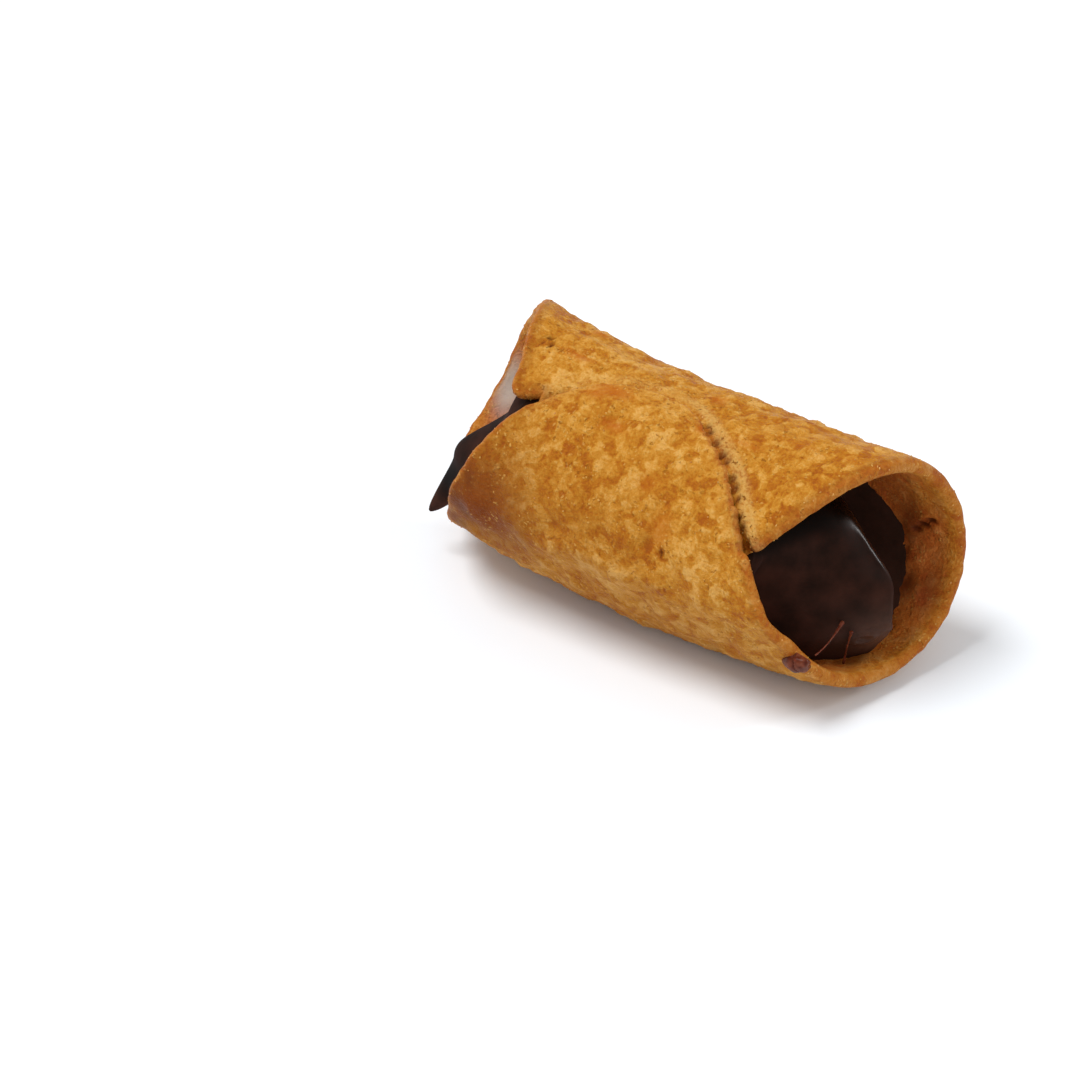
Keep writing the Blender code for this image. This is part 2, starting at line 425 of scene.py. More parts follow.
# Places on the crust are along the tube and across the flat sheet, from its middle, the flap's way positive.
# A spot is along, across, half length, half width and, where it isn't full, how strong. Other threes are how
# much, from where and over how far. Pairs are how much and how far from the rim, and for holes how uneven.
crust = {
    "cells": 214,
    "rimRings": 5,
    "flapPress": 0.85,
    "flapLoosens": (-0.5, 1.0, 6.0),
    "flapPressWidth": 2.2,
    "hiddenPress": (0.9, 4.0),
    "hairline": 0.05,
    "thinnest": 0.45,
    "wobble": 0.10,
    "outset": 0.45,
    "bite": 0.5,
    "holesFrom": 44.6,
    "holes": 11,
    "holeStep": (1.75, 0.7),
    "holeSize": (0.5, 0.18),
    "paleEnds": (1.0, 1.0, 0.8),
    "paleLeast": 0.35,
    "paleGrows": (0.55, -4.0, 6.0),
    "flapEdgeHighlight": (0.4, 0.8),
    "rimBrown": (0.4, 0.6),
    "rimFresh": (0.55, 1.0),
    "insideTone": 0.72,
    "freshLess": 0.32,
    "amberTone": 0.8,
    "amberSpots": [(-9.2, 54.3, 2.6, 1.1), (-10.8, 53.0, 1.6, 0.7), (-6.6, 50.4, 2.0, 0.6), (3.4, 54.3, 0.9, 0.9),
                   (-17.0, -33.6, 2.2, 0.6), (-18.6, -26.8, 1.2, 0.7), (1.0, -30.2, 1.2, 0.9, 0.7),
                   (21.8, -33.0, 1.4, 0.6, 0.6), (4.5, 42.0, 1.4, 2.2, 0.6), (1.0, 46.0, 1.2, 1.0, 0.5),
                   (14.0, 27.0, 1.0, 1.6, 0.6), (-8.0, 12.0, 1.6, 1.2, 0.6), (6.0, -12.0, 1.6, 1.2, 0.6),
                   (-19.4, 33.8, 0.8, 0.8, 0.8), (9.0, -36.5, 2.6, 0.5, 0.6), (15.0, -33.5, 3.0, 0.4, 0.5)],
    # Pits, sunk in the relief and painted dark as painted shade
    "darkPits": [(-21.6, -33.0, 0.5, 0.28), (-20.6, -33.8, 0.25, 0.45), (-21.9, -34.2, 0.35, 0.22),
                 (5.2, 39.5, 0.4, 0.3, 0.8), (-24.5, 20.0, 0.4, 0.5), (10.0, -22.0, 0.5, 0.3)],
    "insidePits": [(23.4, -8.8, 0.7, 0.4), (24.4, -9.7, 0.9, 0.45), (25.4, -10.7, 0.8, 0.4)],
    # Browning and painted shade: the broad spots darken the underside and the lower left front of the roll
    "brownAndShadeSpots": [(-20.8, 35.5, 8.5, 9.0, 1.0), (2.0, 14.0, 30.0, 21.0, 0.46), (-8.0, 37.0, 16.0, 8.0, 0.28),
                  (-30.0, 12.0, 9.0, 14.0, 0.4)],
    "insideBaked": [(26.8, 0.5, 2.6, 3.6, 0.9), (24.0, -9.0, 4.0, 9.0, 0.5), (26.5, -20.0, 3.0, 6.0, 0.3)],
    "insideFresh": [(26.0, 14.0, 3.5, 9.0), (29.0, -14.0, 2.0, 10.0), (25.0, -15.5, 2.6, 4.5)],
    "stains": [(-24.4, 33.6, 1.7, 3.4, 0.7), (-26.8, 29.0, 1.8, 3.0, 0.65), (-22.4, 38.6, 0.7, 1.6, 0.5)],
    "insideStains": [(22.6, -9.5, 1.9, 5.0, 0.75), (23.4, 14.5, 1.4, 3.6, 0.6), (23.9, -0.6, 1.4, 2.4, 0.9),
                     (23.0, 6.0, 1.6, 4.0, 0.5), (22.6, -5.0, 1.0, 2.0, 0.7), (27.0, -1.2, 1.9, 3.4, 0.5),
                     (-29.0, 10.0, 3.0, 9.0, 0.7)],
    # The cream film inside the narrow end, painted pale as a painted sheen
    "sheenFilms": [(-36.2, -5.5, 1.9, 4.8, 0.95)],
}


def wobbleAt(run):
    # An unevenness of the cut edge
    waves = [(5.3, 0.0, 0.9), (2.9, 1.3, 0.7), (1.9, 4.0, 0.5), (9.1, 2.2, 0.7)]
    total = sum(size * np.sin(2.0 * math.pi * run / length + shift) for length, shift, size in waves)
    return crust["wobble"] * total / 2.0


def seamHoles(run):
    # Small gaps left where the flap's edge is pressed on the dough beneath, at uneven steps along it
    total = np.zeros_like(run)
    place = outlineRun[int(outlineSteps * 0.5)] + crust["holesFrom"]
    for k in range(crust["holes"]):
        place += crust["holeStep"][0] + crust["holeStep"][1] * math.sin(2.4 * k)
        size = crust["holeSize"][0] + crust["holeSize"][1] * math.sin(1.7 * k + 1.0)
        total = np.maximum(total, (0.8 + 0.2 * math.sin(3.1 * k)) * bell(run - place, size))
    return total


def flatSheet(p, q):
    # The square grid laid on the flat sheet, drawn in at its edge to leave room for the rim
    along = (p - q) / 2.0
    across = (p + q) / 2.0
    share = np.abs(along) + np.abs(across)
    turn = np.arctan2(across, along)
    square = 1.0 / (np.abs(np.cos(turn)) + np.abs(np.sin(turn)))
    grow = 1.0 + (outlineReach(turn) / square - 1.0) * share ** 2
    alongHalf, acrossHalf = sheetScale(along, across)
    along = along * grow * alongHalf
    across = across * grow * acrossHalf
    run = np.interp(turn, outlineTurn, outlineRun)
    seam = bell(turn - math.radians(88.0), math.radians(36.0))
    outset = crust["outset"] * (1.0 - 2.0 * seam)
    inset = (sheet["thickness"] / 2.0 + wobbleAt(run) - outset + crust["bite"] * seamHoles(run)) * share ** 6
    keep = 1.0 - inset / np.maximum(np.hypot(along, across), 1.0)
    return along * keep, across * keep


def spots(along, across, places, softness):
    # Strongest of some oval spots: along, across, half length, half width and, if given, strength
    total = np.zeros_like(along)
    for spot in places:
        strength = spot[4] if len(spot) > 4 else 1.0
        off = np.hypot((along - spot[0]) / spot[2], (across - spot[1]) / spot[3])
        total = np.maximum(total, strength * np.exp(-(off ** (2.0 * softness))))
    return total


def makeCrustShape():
    cells = crust["cells"]
    steps = np.linspace(-1.0, 1.0, cells + 1)
    p, q = np.meshgrid(steps, steps, indexing="ij")
    along, across = flatSheet(p, q)
    angle = sheet["middleAngle"] - across / tube["radius"]
    around = 2.0 * math.pi * tube["radius"]
    edge, edgeRun = edgeDistance(along, across)
    edge = np.maximum(edge - sheet["thickness"] / 2.0 + crust["outset"], 0.0)
    overInner = edgeDistance(along, across - around)[0]
    underFlap, creaseRun = edgeDistance(along, across + around)

    def nearRim(name):
        return crust[name][0] * bell(edge, crust[name][1])

    # The flap thins towards its sealed edge, and so does the corner that it hides
    ramp = lapRamp(across)
    lap = smoothStep((overInner + 1.0) / 2.0) * ramp
    hidden = smoothStep(underFlap + 0.2)
    firm = crust["flapPress"] + rampUp(along, *crust["flapLoosens"])
    press = firm * bell(edge, crust["flapPressWidth"]) * lap
    radius = tubeRadius(along, angle)
    outerRadius = radius + sheet["lapRise"] * ramp - press - nearRim("hiddenPress") * hidden
    innerRadius = radius - sheet["thickness"] + (sheet["thickness"] + crust["hairline"]) * ramp
    innerRadius = np.minimum(innerRadius, outerRadius - crust["thinnest"])
    outer = tubePoint(along, angle, outerRadius).reshape(-1, 3)
    inner = tubePoint(along, angle, innerRadius).reshape(-1, 3)

    count = (cells + 1) ** 2
    number = np.arange(count).reshape(cells + 1, cells + 1)
    quads = np.stack([number[:-1, :-1], number[1:, :-1], number[1:, 1:], number[:-1, 1:]], axis=-1).reshape(-1, 4)
    loop = np.concatenate([number[:-1, 0], number[-1, :-1], number[:0:-1, -1], number[0, :0:-1]])

    # The rim is a half round between the two skins
    middle = (outer[loop] + inner[loop]) / 2.0
    normal = outer[loop] - inner[loop]
    thick = np.linalg.norm(normal, axis=1, keepdims=True)
    normal = normal / thick
    outward = np.cross(np.roll(middle, -1, axis=0) - np.roll(middle, 1, axis=0), normal)
    outward = outward / np.linalg.norm(outward, axis=1, keepdims=True)
    swings = np.linspace(0.0, math.pi, crust["rimRings"] + 2)[1:-1]
    rims = [middle + thick / 2.0 * (math.cos(s) * normal + math.sin(s) * outward) for s in swings]
    faces = [quads, quads[:, ::-1] + count]
    upper = loop
    for k in range(len(rims) + 1):
        lower = 2 * count + k * len(loop) + np.arange(len(loop)) if k < len(rims) else loop + count
        faces.append(np.stack([np.roll(upper, -1), upper, lower, np.roll(lower, -1)], axis=-1))
        upper = lower

    def spread(outerValues, innerValues, onRim=None):
        rimValues = np.ravel(outerValues)[loop] if onRim is None else np.full(len(loop), onRim)
        return np.concatenate([np.ravel(outerValues), np.ravel(innerValues)] + [rimValues] * len(rims))

    def marks(name, softness=1.6):
        return spots(along, across, crust[name], softness)

    zero = np.zeros_like(along)
    crease = np.where(across < 0.0, -underFlap, 99.0)
    bare = smoothStep((crease + 0.3) / 0.4)
    pale = bare * (1.0 - rampUp(crease, *crust["paleEnds"])) * (across < 0.0)
    pale = pale * (crust["paleLeast"] + rampUp(along, *crust["paleGrows"]))
    # A painted highlight along the flap's rounded edge, laid on with the pale band
    flapEdge = nearRim("flapEdgeHighlight") * lap
    holes = seamHoles(creaseRun) * bell(crease + 0.2, 0.45) * (across < 0.0)
    holes = np.maximum(holes, seamHoles(edgeRun) * bell(edge, 0.35) * lap)
    rimBrown = nearRim("rimBrown") * (1.0 - lap)
    insideBaked = crust["insideTone"] - crust["freshLess"] * marks("insideFresh", 1.0)
    insideBaked = np.maximum(insideBaked, marks("insideBaked", 1.0))
    insideBaked = insideBaked * (1.0 - nearRim("rimFresh") * (1.0 - lap))
    fields = {
        "edge": spread(edge, edge),
        "crease": spread(crease, zero + 99.0),
        "inside": spread(zero, zero + 1.0, 0.3),
        "pale": spread(np.maximum(pale, flapEdge), zero),
        "pit": spread(np.maximum(holes, marks("darkPits")), marks("insidePits")),
        "amber": spread(crust["amberTone"] * marks("amberSpots") * bare, zero),
        "brownAndShade": spread(np.maximum(marks("brownAndShadeSpots", 1.0), rimBrown), zero, 0.3),
        "baked": spread(zero, insideBaked, 0.2),
        "stain": spread(marks("stains", 1.1), marks("insideStains", 1.1)),
        "film": spread(zero, marks("sheenFilms", 1.5)),
    }
    return np.concatenate([outer, inner] + rims), np.concatenate(faces), fields


# How the crust's surface swells, blisters and pits, all in millimetres
relief = {
    "Swell Height": 0.42,
    "Swell Size": 4.2,
    "Blister Height": 0.16,
    "Blister Size": 1.7,
    "Grain Height": 0.09,
    "Grain Size": 0.9,
    "Pit Depth": 0.5,
}


def reliefTree():
    tree, put = newNodeTree("crustRelief", relief)

    place = addNode(tree, "GeometryNodeInputPosition")
    inMm = addNode(tree, "ShaderNodeVectorMath", {0: place, "Scale": 1.0 / mm}, operation="SCALE")
    bend = addNode(tree, "ShaderNodeTexNoise", {"Vector": inMm, "Scale": 0.4, "Detail": 1.0}, output="Color")
    bend = addNode(tree, "ShaderNodeVectorMath", {0: bend, "Scale": 2.2}, operation="SCALE")
    warped = addNode(tree, "ShaderNodeVectorMath", {0: inMm, 1: bend}, operation="ADD")

    # Slow swelling, which both skins share, and a fine grain over all
    rate = {name: addNode(tree, "ShaderNodeMath", {0: 1.0, 1: put[name + " Size"]}, operation="DIVIDE")
            for name in ("Swell", "Grain", "Blister")}
    waves = []
    for name, detail in (("Swell", 1.0), ("Grain", 2.0)):
        wave = addNode(tree, "ShaderNodeTexNoise", {"Vector": inMm, "Scale": rate[name], "Detail": detail})
        wave = addNode(tree, "ShaderNodeMapRange", {
            "Value": wave, "From Min": 0.25, "From Max": 0.75, "To Min": -1.0, "To Max": 1.0})
        waves.append(addNode(tree, "ShaderNodeMath", {0: wave, 1: put[name + " Height"]}, operation="MULTIPLY"))
    swell, grain = waves

    # Blisters in drifts
    blister = addNode(tree, "ShaderNodeTexVoronoi", {
        "Vector": warped, "Scale": rate["Blister"], "Smoothness": 0.7}, feature="SMOOTH_F1")
    blister = addNode(tree, "ShaderNodeMapRange", {
        "Value": blister, "From Min": 0.62, "From Max": 0.15}, interpolation_type="SMOOTHSTEP")
    where = addNode(tree, "ShaderNodeTexNoise", {"Vector": inMm, "Scale": 0.28, "Detail": 1.0})
    where = addNode(tree, "ShaderNodeMapRange", {"Value": where, "From Min": 0.38, "From Max": 0.6})
    blister = addNode(tree, "ShaderNodeMath", {0: blister, 1: where}, operation="MULTIPLY")
    fine = addNode(tree, "ShaderNodeMath", {
        0: blister, 1: put["Blister Height"], 2: grain}, operation="MULTIPLY_ADD")

    # Calm beside the crease, so that the layers meet cleanly, at the rims, and inside
    crease, edge, inside, pit = (
        addNode(tree, "GeometryNodeInputNamedAttribute", {"Name": name}, data_type="FLOAT")
        for name in ("crease", "edge", "inside", "pit"))
    calm = addNode(tree, "ShaderNodeMapRange", {"Value": crease, "From Min": 0.1, "From Max": 1.2})
    rim = addNode(tree, "ShaderNodeMapRange", {"Value": edge, "From Max": 2.6, "To Min": 0.1})
    quiet = addNode(tree, "ShaderNodeMapRange", {"Value": inside, "To Min": 1.0, "To Max": 0.7})
    for share in (calm, quiet, rim):
        fine = addNode(tree, "ShaderNodeMath", {0: fine, 1: share}, operation="MULTIPLY")
    sunk = addNode(tree, "ShaderNodeMath", {0: pit, 1: put["Pit Depth"]}, operation="MULTIPLY")
    fine = addNode(tree, "ShaderNodeMath", {0: fine, 1: sunk}, operation="SUBTRACT")
    flip = addNode(tree, "ShaderNodeMapRange", {"Value": inside, "To Min": 1.0, "To Max": -0.5})
    for share in (flip, rim):
        swell = addNode(tree, "ShaderNodeMath", {0: swell, 1: share}, operation="MULTIPLY")
    total = addNode(tree, "ShaderNodeMath", {0: fine, 1: swell}, operation="ADD")

    up = addNode(tree, "GeometryNodeInputNormal")
    inMetres = addNode(tree, "ShaderNodeMath", {0: total, 1: mm}, operation="MULTIPLY")
    offset = addNode(tree, "ShaderNodeVectorMath", {0: up, "Scale": inMetres}, operation="SCALE")
    kept = addNode(tree, "GeometryNodeStoreNamedAttribute", {
        "Geometry": put["Geometry"], "Name": "relief", "Value": fine}, data_type="FLOAT", domain="POINT")
    moved = addNode(tree, "GeometryNodeSetPosition", {"Geometry": kept, "Offset": offset})
    endNodeTree(tree, moved, put["Dough"])
    return tree


def settleOnFloor(piece):
    # The underside is pressed flat where the roll rests
    for vertex in piece.data.vertices:
        vertex.co.z = max(vertex.co.z, 0.0)
    piece.data.update()


dough = makeCrustMaterial()
points, faces, fields = makeCrustShape()
shell = addMesh("crust", points, faces, dough)
storeFields(shell, fields)
bakeNodes(shell, reliefTree(), {**relief, "Dough": dough})
settleOnFloor(shell)
print("crust:", len(shell.data.polygons), "faces")


# Chocolate hazelnut cream, piped and set: near black-brown and dull, with a greasy gloss where it was pulled
# smooth, and paler where it was wiped thin. Painted light pales the shaded back of the wide end, and painted shade
# darkens where little light reaches. Sizes in mm.
creamLook = {
    "deep": "1E0E07",
    "bare": "381D14",
    # Bloom is the paler wiped cream, and also painted light in the back of the wide end
    "bloomAndLight": "5E3E30",
    # Shade is painted shade, near black where little light gets in
    "shade": "0E0704",
    "dull": 0.88,
    "glossy": 0.2,
    "cloudSize": 4.0,
    "streakSize": 1.1,
    "skinSize": 0.8,
}


def makeCreamMaterial():
    material, tree, surface = newMaterial("chocolate_cream_glossy")
    inMm = patternPlace(tree)
    stops = [(0.35, creamLook["deep"]), (0.7, creamLook["bare"])]
    _, toned = mottled(tree, inMm, creamLook["cloudSize"], 3.0, stops)
    bloomAndLight, paintedShade, gloss = (
        addNode(tree, "ShaderNodeAttribute", output="Fac", attribute_name=name)
        for name in ("bloomAndLight", "paintedShade", "gloss"))
    streak = addNode(tree, "ShaderNodeTexNoise", {
        "Vector": inMm, "Scale": 1 / creamLook["streakSize"], "Detail": 2.0, "Distortion": 1.2})
    streak = addNode(tree, "ShaderNodeMapRange", {
        "Value": streak, "From Min": 0.2, "From Max": 0.8, "To Min": 0.5})
    bloomAndLight = addNode(tree, "ShaderNodeMath", {0: bloomAndLight, 1: streak}, operation="MULTIPLY")
    for amount, key in ((bloomAndLight, "bloomAndLight"), (paintedShade, "shade")):
        toned = addNode(tree, "ShaderNodeMix", {
            "Factor": amount, 6: toned, 7: colour(creamLook[key])}, output=2, data_type="RGBA")
    skin = addNode(tree, "ShaderNodeTexNoise", {"Vector": inMm, "Scale": 1 / creamLook["skinSize"], "Detail": 2.0})
    shine = addNode(tree, "ShaderNodeMapRange", {
        "Value": gloss, "To Min": creamLook["dull"], "To Max": creamLook["glossy"]})
    bump = addNode(tree, "ShaderNodeBump", {"Height": skin, "Strength": 0.15, "Distance": 0.08 * mm})
    feed(tree, surface, {
        "Base Color": toned, "Roughness": shine, "Normal": bump, "IOR": 1.47, "Specular IOR Level": 0.11,
        "Subsurface Weight": 0.05, "Subsurface Scale": 0.5 * mm})
    return material


# Each end is a surface over the bore: how far out it stands at a place across the tube, y back and z up. Where
# three numbers go together they are how much, from what height and over how much of it, downwards if negative.
cream = {"sunk": 0.35, "rings": 96, "wallRings": 16, "sides": 300, "bore": 13.0}
rightNose = {
    "wall": 15.5, "wallSwing": 8.6, "wallTo": 228.0, "wallBumps": [(194.0, 20.0, 2.7), (285.0, 16.0, -3.0)],
    "hollow": 13.0, "rimWidth": 0.18,
    "ridge": 0.9, "ridgeOut": 3.0, "top": 9.3, "fold": 5.0, "foldRound": 1.2, "round": 3.8,
    "crest": 27.6, "crestFall": (8.0, -2.0, 12.0), "chinFall": (2.8, -6.5, -5.5),
    "slope": 10.6, "slopeEase": (6.3, 0.0, 7.0), "slopeWidth": 11.0, "slopeMost": 1.1, "slopeCurve": 1.25,
    "tuck": (0.7, 0.88, 0.12),
    "pucker": (-2.2, -7.6), "puckerRing": (0.32, 0.9, 0.35), "puckerDip": (0.4, 0.45),
    "wrinkle": (-0.5, -6.2), "wrinkleHigh": 0.25, "wrinkleSize": (2.4, 0.5),
    "ripple": 0.08,
    "startsAt": 21.0,
}
leftNose = {
    "wall": 21.5, "wallSwing": 4.5, "wallTo": 150.0, "wallBumps": [],
    "hollow": 21.0, "rimWidth": 0.2,
    "crest": 34.0, "crestFall": (2.2, -6.0, 8.0), "topFall": (8.0, 0.5, 9.5),
    "crestAt": -6.7, "topShift": (3.2, 3.0, 7.0),
    "nearWidth": 3.4, "nearMore": (3.8, -5.0, 6.0), "farWidth": 5.0,
    "tip": (-6.2, -4.3), "tipSize": 1.5, "tipPull": (-2.2, -1.4, -4.7), "tipFrom": 30.0, "tipOver": 2.5,
    "startsAt": 28.0,
}


def plainEnd(nose, share, turn):
    # How far out the cream stands without its nose: sunk in the middle, and clinging to the dough
    wall = nose["wall"] + nose["wallSwing"] * np.cos(turn - math.radians(nose["wallTo"]))
    for at, width, size in nose["wallBumps"]:
        wall = wall + size * bell(turn - math.radians(at), math.radians(width))
    rising = smoothStep((share - 1.0 + nose["rimWidth"]) / nose["rimWidth"])
    return nose["hollow"] + (wall - nose["hollow"]) * rising


def rightFace(y, z, share, turn):
    nose = rightNose
    hollow = plainEnd(nose, share, turn)
    fromRidge = nose["ridge"] - y
    fromTop = nose["top"] - z
    outer = fromRidge + nose["ridgeOut"]
    blend = np.clip(0.5 + (fromTop - outer) / nose["fold"], 0.0, 1.0)
    inside = fromTop * (1.0 - blend) + outer * blend - nose["foldRound"] * blend * (1.0 - blend)
    crest = nose["crest"] - rampUp(z, *nose["crestFall"]) - rampUp(z, *nose["chinFall"])
    slope = nose["slope"] - rampUp(z, *nose["slopeEase"])
    back = np.minimum(np.maximum(fromRidge, 0.0) / nose["slopeWidth"], nose["slopeMost"])
    face = crest - slope * back ** nose["slopeCurve"]
    full = np.clip(inside / nose["round"], 0.0, 1.0)
    out = hollow + np.maximum(face - hollow, 0.0) * np.sqrt(1.0 - (1.0 - full) ** 2)
    # The face rounds in where it meets the dough, and is puckered where the nozzle let go
    size, start, over = nose["tuck"]
    detail = -size * smoothStep((share - start) / over) ** 2
    off = np.hypot(y - nose["pucker"][0], (z - nose["pucker"][1]) * 1.2)
    size, ring, width = nose["puckerRing"]
    detail = detail + size * bell(off - ring, width) - nose["puckerDip"][0] * bell(off, nose["puckerDip"][1])
    across, up = y - nose["wrinkle"][0], z - nose["wrinkle"][1]
    length, width = nose["wrinkleSize"]
    detail = detail + nose["wrinkleHigh"] * bell(up + 0.25 * (across + 0.5), width) * bell(across, length)
    return out + full * (detail + nose["ripple"] * np.sin(1.1 * y + 0.6 * z + 1.4 * np.sin(0.5 * z)))


def leftFace(y, z, share, turn):
    nose = leftNose
    low = plainEnd(nose, share, turn)
    crest = nose["crest"] - rampUp(z, *nose["crestFall"]) - rampUp(z, *nose["topFall"])
    crestAt = nose["crestAt"] + rampUp(z, *nose["topShift"])
    width = nose["nearWidth"] + rampUp(z, *nose["nearMore"])
    near = np.clip((1.0 - share) * cream["bore"] / width, 0.0, 1.0)
    rise = (1.0 - (1.0 - near) ** 2) * smoothStep(1.0 - (y - crestAt) / nose["farWidth"])
    return low + np.maximum(crest - low, 0.0) * rise


def creamRing(along, share, turn):
    return tubePoint(along, turn, share * (tubeRadius(along, turn) - sheet["thickness"] + cream["sunk"]))


def creamEnd(side, share, turn):
    # Points of one end. How far out a point is decides the bore there, so it is found in a few steps.
    nose, face = (rightNose, rightFace) if side > 0 else (leftNose, leftFace)
    along = np.full_like(turn, side * nose["startsAt"])
    for _ in range(3):
        points = creamRing(along, share, turn)
        along = side * face(points[..., 1], points[..., 2], share, turn)
    points = creamRing(along, share, turn)
    if side < 0:
        # The last of the cream was drawn out to a tip that hangs over the lip
        off = np.hypot(points[..., 1] - nose["tip"][0], points[..., 2] - nose["tip"][1])
        pull = bell(off, nose["tipSize"]) * smoothStep((-along - nose["tipFrom"]) / nose["tipOver"])
        points = points + pull[..., None] * np.array(nose["tipPull"])
    return points


def makeCreamShape():
    sides = cream["sides"]
    turn = np.linspace(0.0, 2.0 * math.pi, sides, endpoint=False)
    shares = np.linspace(0.0, 1.0, cream["rings"] + 1)[1:]
    left = [creamEnd(-1, share, turn) for share in shares]
    right = [creamEnd(1, share, turn) for share in shares]
    wall = []
    for mix in np.linspace(0.0, 1.0, cream["wallRings"] + 2)[1:-1]:
        wall.append(creamRing(left[-1][:, 0] * (1.0 - mix) + right[-1][:, 0] * mix, 1.0, turn))
    rings = np.concatenate([np.array(left), np.array(wall), np.array(right[::-1])])
    tips = [creamEnd(side, 0.0, np.zeros(1))[0] for side in (-1, 1)]
    number, ahead, quads = ringFaces(len(rings), sides)
    leftTip = number.size
    caps = [(leftTip, a, b) for a, b in zip(number[0], ahead[0])]
    caps += [(leftTip + 1, b, a) for a, b in zip(number[-1], ahead[-1])]
    return np.concatenate([rings.reshape(-1, 3), np.array(tips)]), quads + caps


# Ovals on the cream: past which x, middle in y and z, half sizes in y and z, how strong. The left end's are
# given with x and y turned round.
creamMarks = {
    # The second oval is painted light: it pales the shaded back of the wide end
    "wipedAndLit": [(0.0, 0.5, -8.0, 4.0, 4.0, 0.75), (12.0, 8.0, 0.0, 5.0, math.inf, 0.35)],
    "wipedLeft": [(0.0, 6.6, -7.0, 1.222, 1.833, 0.9)],
    "smooth": [(15.0, -1.5, -7.5, 3.2, 3.2, 0.8)],
    "ridgeWidth": 2.4,
    "ridgeFrom": (1.0, -1.0, 3.0),
    # Painted shade, under the wide end's upper lip and in a band across the narrow end
    "underLip": (1.0, 5.2, 1.8),
    "leftBand": (-2.2, 3.2),
}


def ovals(x, y, z, places):
    total = np.zeros_like(x)
    for past, atY, atZ, wide, high, strength in places:
        total = total + strength * bell(np.hypot((y - atY) / wide, (z - atZ) / high), 1.0) * (x > past)
    return total


def creamFinish(x, y, z):
    # Where it is wiped thin, where painted light pales the back of the wide end, where it is smooth and glossy,
    # and where painted shade stands for the little light that gets to it
    marks = creamMarks
    wipedAndLit = ovals(x, y, z, marks["wipedAndLit"]) + ovals(-x, -y, z, marks["wipedLeft"])
    shiny = bell(y - rightNose["ridge"], marks["ridgeWidth"]) * rampUp(z, *marks["ridgeFrom"]) * (x > 15.0)
    shiny = shiny + ovals(x, y, z, marks["smooth"])
    paintedShadeMask = bell(z - marks["leftBand"][0], marks["leftBand"][1]) * (x < -20.0)
    paintedShadeMask = paintedShadeMask + rampUp(z, *marks["underLip"]) * (x > 10.0)
    return {"bloomAndLight": np.clip(wipedAndLit, 0.0, 1.0), "gloss": np.clip(shiny, 0.0, 1.0), "paintedShade": paintedShadeMask}


chocolate = makeCreamMaterial()
points, faces = makeCreamShape()
filling = addMesh("cream", points, faces, chocolate)
storeFields(filling, creamFinish(*points.T))
print("cream:", len(filling.data.polygons), "faces")


# Grits of dough that came loose in the fat and stuck on, thickest along the cut edges, in millimetres
crumbs = {
    "Rim Count": 0.24,
    "Face Count": 0.02,
    "Smallest": 0.1,
    "Largest": 0.22,
    "Seed": 11,
}
crumbLook = {"dark": "A9661B", "light": "D6A250", "cloudSize": 0.9}


def makeCrumbMaterial():
    # Dry fried dough, broken, so paler and duller than the crust
    material, tree, surface = newMaterial("fried_dough_crumb")
    inMm = patternPlace(tree)
    stops = [(0.35, crumbLook["dark"]), (0.6, crumbLook["light"])]
    _, toned = mottled(tree, inMm, crumbLook["cloudSize"], 1.0, stops)
    feed(tree, surface, {
        "Base Color": toned, "Roughness": 0.45, "Subsurface Weight": 0.2, "Subsurface Scale": 0.3 * mm})
    return material


def crumbTree():
    tree, put = newNodeTree("looseCrumbs", crumbs)

    # More of them near an edge and in the seam, and fewer inside
    edge, crease, inside = (
        addNode(tree, "GeometryNodeInputNamedAttribute", {"Name": name}, data_type="FLOAT")
        for name in ("edge", "crease", "inside"))
    beside = addNode(tree, "ShaderNodeMath", {0: crease}, operation="ABSOLUTE")
    nearest = addNode(tree, "ShaderNodeMath", {0: edge, 1: beside}, operation="MINIMUM")
    rim = addNode(tree, "ShaderNodeMapRange", {
        "Value": nearest, "From Min": 0.1, "From Max": 1.3,
        "To Min": put["Rim Count"], "To Max": put["Face Count"]})
    outer = addNode(tree, "ShaderNodeMapRange", {
        "Value": inside, "From Min": 0.35, "From Max": 0.9, "To Min": 1.0, "To Max": 0.12})
    density = addNode(tree, "ShaderNodeMath", {0: rim, 1: outer}, operation="MULTIPLY")
    density = addNode(tree, "ShaderNodeMath", {0: density, 1: 1.0 / mm ** 2}, operation="MULTIPLY")
    scatter = addNode(tree, "GeometryNodeDistributePointsOnFaces", {
        "Mesh": put["Geometry"], "Density": density, "Seed": put["Seed"]}, distribute_method="RANDOM")

    # One small lump, stretched and turned a different way each time
    least, most = (addNode(tree, "ShaderNodeMath", {0: put[name], 1: mm}, operation="MULTIPLY")
                   for name in ("Smallest", "Largest"))
    lump = addNode(tree, "GeometryNodeMeshIcoSphere", {"Radius": 1.0, "Subdivisions": 1})
    high = addNode(tree, "ShaderNodeCombineXYZ", {0: most, 1: least, 2: least})
    size = addNode(tree, "FunctionNodeRandomValue", {
        0: least, 1: high, "Seed": put["Seed"]}, data_type="FLOAT_VECTOR")
    turned = addNode(tree, "FunctionNodeRandomValue", {
        1: (6.28, 6.28, 6.28), "Seed": put["Seed"]}, data_type="FLOAT_VECTOR")
    stuck = addNode(tree, "GeometryNodeInstanceOnPoints", {
        "Points": scatter, "Instance": lump, "Rotation": turned, "Scale": size})
    endNodeTree(tree, stuck, put["Dough"])
    return tree


grit = makeCrumbMaterial()
loose = addObject("crumbs", shell.data.copy())
bakeNodes(loose, crumbTree(), {**crumbs, "Dough": grit})
settleOnFloor(loose)
print("crumbs:", len(loose.data.polygons) // 20)


